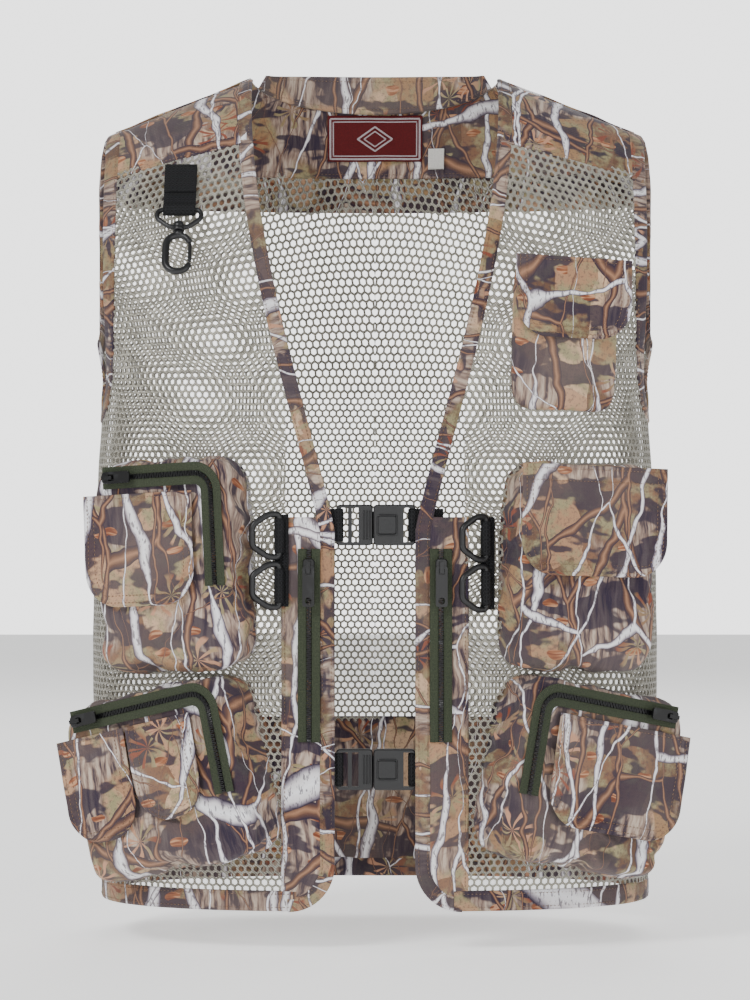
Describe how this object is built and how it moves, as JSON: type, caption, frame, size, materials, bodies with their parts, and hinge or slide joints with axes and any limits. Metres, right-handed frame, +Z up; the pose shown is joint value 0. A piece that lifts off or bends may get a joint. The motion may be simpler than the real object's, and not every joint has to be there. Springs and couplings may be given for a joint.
{
  "type": "fishing vest",
  "caption": "Sleeveless mesh fishing vest with camouflage trim, flap and zip cargo pockets, D-rings, a snap hook and two release buckles.",
  "frame": {"origin": "centre of the hem opening, at the height of the front hem", "axes": "+Z up along the wearer's back, -Y out of the front, +X towards the wearer's left"},
  "size_m": [0.4886, 0.2903, 0.6681],
  "materials": {
    "mesh_fabric": "knitted polyester air mesh, silver-grey",
    "camo_fabric": "printed polyester twill, matt",
    "binding": "printed polyester tape, matt",
    "zip_tape": "woven dark olive zip tape with a black coil",
    "zip_metal": "black lacquered zinc",
    "webbing": "ribbed black webbing",
    "black_plastic": "moulded black acetal, satin",
    "label": "woven maroon label"
  },
  "bodies": {
    "vest": {"front_mesh_right": "mesh_fabric", "front_yoke_right": "camo_fabric", "placket_right": "camo_fabric", "front_mesh_left": "mesh_fabric", "front_yoke_left": "camo_fabric", "placket_left": "camo_fabric", "back_mesh": "mesh_fabric", "back_lower_panel": "camo_fabric", "back_yoke_lining": "camo_fabric", "back_yoke": "camo_fabric", "hem_binding": "binding", "armhole_binding_right": "binding", "armhole_binding_left": "binding", "collar": "binding", "mid_pocket_right_zip_tape": "zip_tape", "mid_pocket_right": "camo_fabric", "lower_pocket_right_zip_tape": "zip_tape", "lower_pocket_right": "camo_fabric", "chest_pocket_left": "camo_fabric", "mid_pocket_left": "camo_fabric", "lower_pocket_left_zip_tape": "zip_tape", "lower_pocket_left": "camo_fabric", "placket_zip_right_tape": "zip_tape", "placket_zip_left_tape": "zip_tape", "ring_right_webbing": "webbing", "ring_left_webbing": "webbing", "hook_strap": "webbing", "buckle_upper_socket": "black_plastic", "buckle_upper_web_left": "webbing", "buckle_lower_socket": "black_plastic", "buckle_lower_web_left": "webbing"},
    "placket_zip_right_slider": {"placket_zip_right_slider": "zip_metal"},
    "placket_zip_right_pull": {"placket_zip_right_pull": "zip_metal"},
    "placket_zip_left_slider": {"placket_zip_left_slider": "zip_metal"},
    "placket_zip_left_pull": {"placket_zip_left_pull": "zip_metal"},
    "mid_pocket_right_zip_slider": {"mid_pocket_right_zip_slider": "zip_metal"},
    "mid_pocket_right_zip_pull": {"mid_pocket_right_zip_pull": "zip_metal"},
    "lower_pocket_right_zip_slider": {"lower_pocket_right_zip_slider": "zip_metal"},
    "lower_pocket_right_zip_pull": {"lower_pocket_right_zip_pull": "zip_metal"},
    "lower_pocket_left_zip_slider": {"lower_pocket_left_zip_slider": "zip_metal"},
    "lower_pocket_left_zip_pull": {"lower_pocket_left_zip_pull": "zip_metal"},
    "mid_flap_right": {"mid_flap_right": "camo_fabric"},
    "lower_flap_right_inner": {"lower_flap_right_inner": "camo_fabric"},
    "lower_flap_right_outer": {"lower_flap_right_outer": "camo_fabric"},
    "chest_flap_left": {"chest_flap_left": "camo_fabric"},
    "mid_flap_left": {"mid_flap_left": "camo_fabric"},
    "lower_flap_left": {"lower_flap_left": "camo_fabric"},
    "ring_right_lower": {"ring_right_lower": "black_plastic"},
    "ring_right_upper": {"ring_right_upper": "black_plastic"},
    "ring_left_lower": {"ring_left_lower": "black_plastic"},
    "ring_left_upper": {"ring_left_upper": "black_plastic"},
    "hook_eye": {"hook_eye": "black_plastic"},
    "snap_hook": {"snap_hook": "black_plastic"},
    "hook_gate": {"hook_gate": "black_plastic"},
    "buckle_upper_plug": {"buckle_upper_plug": "black_plastic", "buckle_upper_web_right": "webbing"},
    "buckle_upper_button": {"buckle_upper_button": "black_plastic"},
    "buckle_lower_plug": {"buckle_lower_plug": "black_plastic", "buckle_lower_web_right": "webbing"},
    "buckle_lower_button": {"buckle_lower_button": "black_plastic"}
  },
  "joints": [
    {"name": "placket_zip_right_slide", "type": "slide", "parent": "vest", "child": "placket_zip_right_slider", "axis": [0, 0, -1], "range_m": [0, 0.112]},
    {"name": "placket_zip_right_pull_hinge", "type": "hinge", "parent": "placket_zip_right_slider", "child": "placket_zip_right_pull", "pos_m": [-0.05051, -0.13362, 0.262], "axis": [0.9986, -0.0527, 0], "range_deg": [-150, 0]},
    {"name": "placket_zip_left_slide", "type": "slide", "parent": "vest", "child": "placket_zip_left_slider", "axis": [0, 0, -1], "range_m": [0, 0.112]},
    {"name": "placket_zip_left_pull_hinge", "type": "hinge", "parent": "placket_zip_left_slider", "child": "placket_zip_left_pull", "pos_m": [0.05051, -0.13362, 0.262], "axis": [0.9986, 0.0527, 0], "range_deg": [-150, 0]},
    {"name": "mid_pocket_right_zip_slide", "type": "slide", "parent": "vest", "child": "mid_pocket_right_zip_slider", "axis": [0.9018, -0.4289, 0.0523], "range_m": [0, 0.06]},
    {"name": "mid_pocket_right_zip_pull_hinge", "type": "hinge", "parent": "mid_pocket_right_zip_slider", "child": "mid_pocket_right_zip_pull", "pos_m": [-0.2041, -0.1125, 0.32984], "axis": [-0.0473, 0.0225, 0.9986], "range_deg": [-150, 0]},
    {"name": "lower_pocket_right_zip_slide", "type": "slide", "parent": "vest", "child": "lower_pocket_right_zip_slider", "axis": [0.8508, -0.4749, 0.225], "range_m": [0, 0.08]},
    {"name": "lower_pocket_right_zip_pull_hinge", "type": "hinge", "parent": "lower_pocket_right_zip_slider", "child": "lower_pocket_right_zip_pull", "pos_m": [-0.22981, -0.0986, 0.14323], "axis": [-0.1964, 0.1096, 0.9744], "range_deg": [-150, 0]},
    {"name": "lower_pocket_left_zip_slide", "type": "slide", "parent": "vest", "child": "lower_pocket_left_zip_slider", "axis": [-0.855, -0.4822, 0.1908], "range_m": [0, 0.08]},
    {"name": "lower_pocket_left_zip_pull_hinge", "type": "hinge", "parent": "lower_pocket_left_zip_slider", "child": "lower_pocket_left_zip_pull", "pos_m": [0.22871, -0.09939, 0.14669], "axis": [-0.1662, -0.0937, -0.9816], "range_deg": [-150, 0]},
    {"name": "mid_flap_right_hinge", "type": "hinge", "parent": "vest", "child": "mid_flap_right", "pos_m": [-0.18168, -0.1179, 0.31801], "axis": [0.9018, -0.4289, 0.0523], "range_deg": [-120, 0]},
    {"name": "lower_flap_right_inner_hinge", "type": "hinge", "parent": "vest", "child": "lower_flap_right_inner", "pos_m": [-0.16627, -0.12862, 0.14607], "axis": [0.8508, -0.4749, 0.225], "range_deg": [-120, 0]},
    {"name": "lower_flap_right_outer_hinge", "type": "hinge", "parent": "vest", "child": "lower_flap_right_outer", "pos_m": [-0.21945, -0.09895, 0.13201], "axis": [0.8508, -0.4749, 0.225], "range_deg": [-120, 0]},
    {"name": "chest_flap_left_hinge", "type": "hinge", "parent": "vest", "child": "chest_flap_left", "pos_m": [0.1529, -0.10863, 0.49887], "axis": [0.9247, 0.3791, -0.0349], "range_deg": [-120, 0]},
    {"name": "mid_flap_left_hinge", "type": "hinge", "parent": "vest", "child": "mid_flap_left", "pos_m": [0.16828, -0.12475, 0.33892], "axis": [0.8995, 0.4356, -0.0349], "range_deg": [-120, 0]},
    {"name": "lower_flap_left_hinge", "type": "hinge", "parent": "vest", "child": "lower_flap_left", "pos_m": [0.19211, -0.11457, 0.14109], "axis": [0.855, 0.4822, -0.1908], "range_deg": [-120, 0]},
    {"name": "ring_right_lower_hinge", "type": "hinge", "parent": "vest", "child": "ring_right_lower", "pos_m": [-0.07271, -0.12801, 0.248], "axis": [0, 0, 1], "range_deg": [0, 100]},
    {"name": "ring_right_upper_hinge", "type": "hinge", "parent": "vest", "child": "ring_right_upper", "pos_m": [-0.07271, -0.12801, 0.286], "axis": [0, 0, 1], "range_deg": [0, 100]},
    {"name": "ring_left_lower_hinge", "type": "hinge", "parent": "vest", "child": "ring_left_lower", "pos_m": [0.08456, -0.12668, 0.246], "axis": [0, 0, 1], "range_deg": [0, 100]},
    {"name": "ring_left_upper_hinge", "type": "hinge", "parent": "vest", "child": "ring_left_upper", "pos_m": [0.08456, -0.12668, 0.284], "axis": [0, 0, 1], "range_deg": [0, 100]},
    {"name": "hook_swing", "type": "hinge", "parent": "vest", "child": "hook_eye", "pos_m": [-0.15, -0.10074, 0.53535], "axis": [1, 0, 0], "range_deg": [-90, 0]},
    {"name": "hook_swivel", "type": "hinge", "parent": "hook_eye", "child": "snap_hook", "pos_m": [-0.15, -0.11272, 0.51786], "axis": [0, 0.5652, 0.825], "continuous": true},
    {"name": "hook_gate_hinge", "type": "hinge", "parent": "snap_hook", "child": "hook_gate", "pos_m": [-0.1408, -0.12967, 0.49311], "axis": [0, 0.825, -0.5652], "range_deg": [-20, 0], "stiffness_Nm_per_rad": 0.05},
    {"name": "buckle_upper_release", "type": "slide", "parent": "vest", "child": "buckle_upper_plug", "axis": [-1, 0, 0], "range_m": [0, 0.02]},
    {"name": "buckle_upper_press", "type": "slide", "parent": "vest", "child": "buckle_upper_button", "axis": [0, 1, 0], "range_m": [0, 0.0014], "stiffness_N_per_m": 2000},
    {"name": "buckle_lower_release", "type": "slide", "parent": "vest", "child": "buckle_lower_plug", "axis": [-1, 0, 0], "range_m": [0, 0.02]},
    {"name": "buckle_lower_press", "type": "slide", "parent": "vest", "child": "buckle_lower_button", "axis": [0, 1, 0], "range_m": [0, 0.0014], "stiffness_N_per_m": 2000}
  ]
}
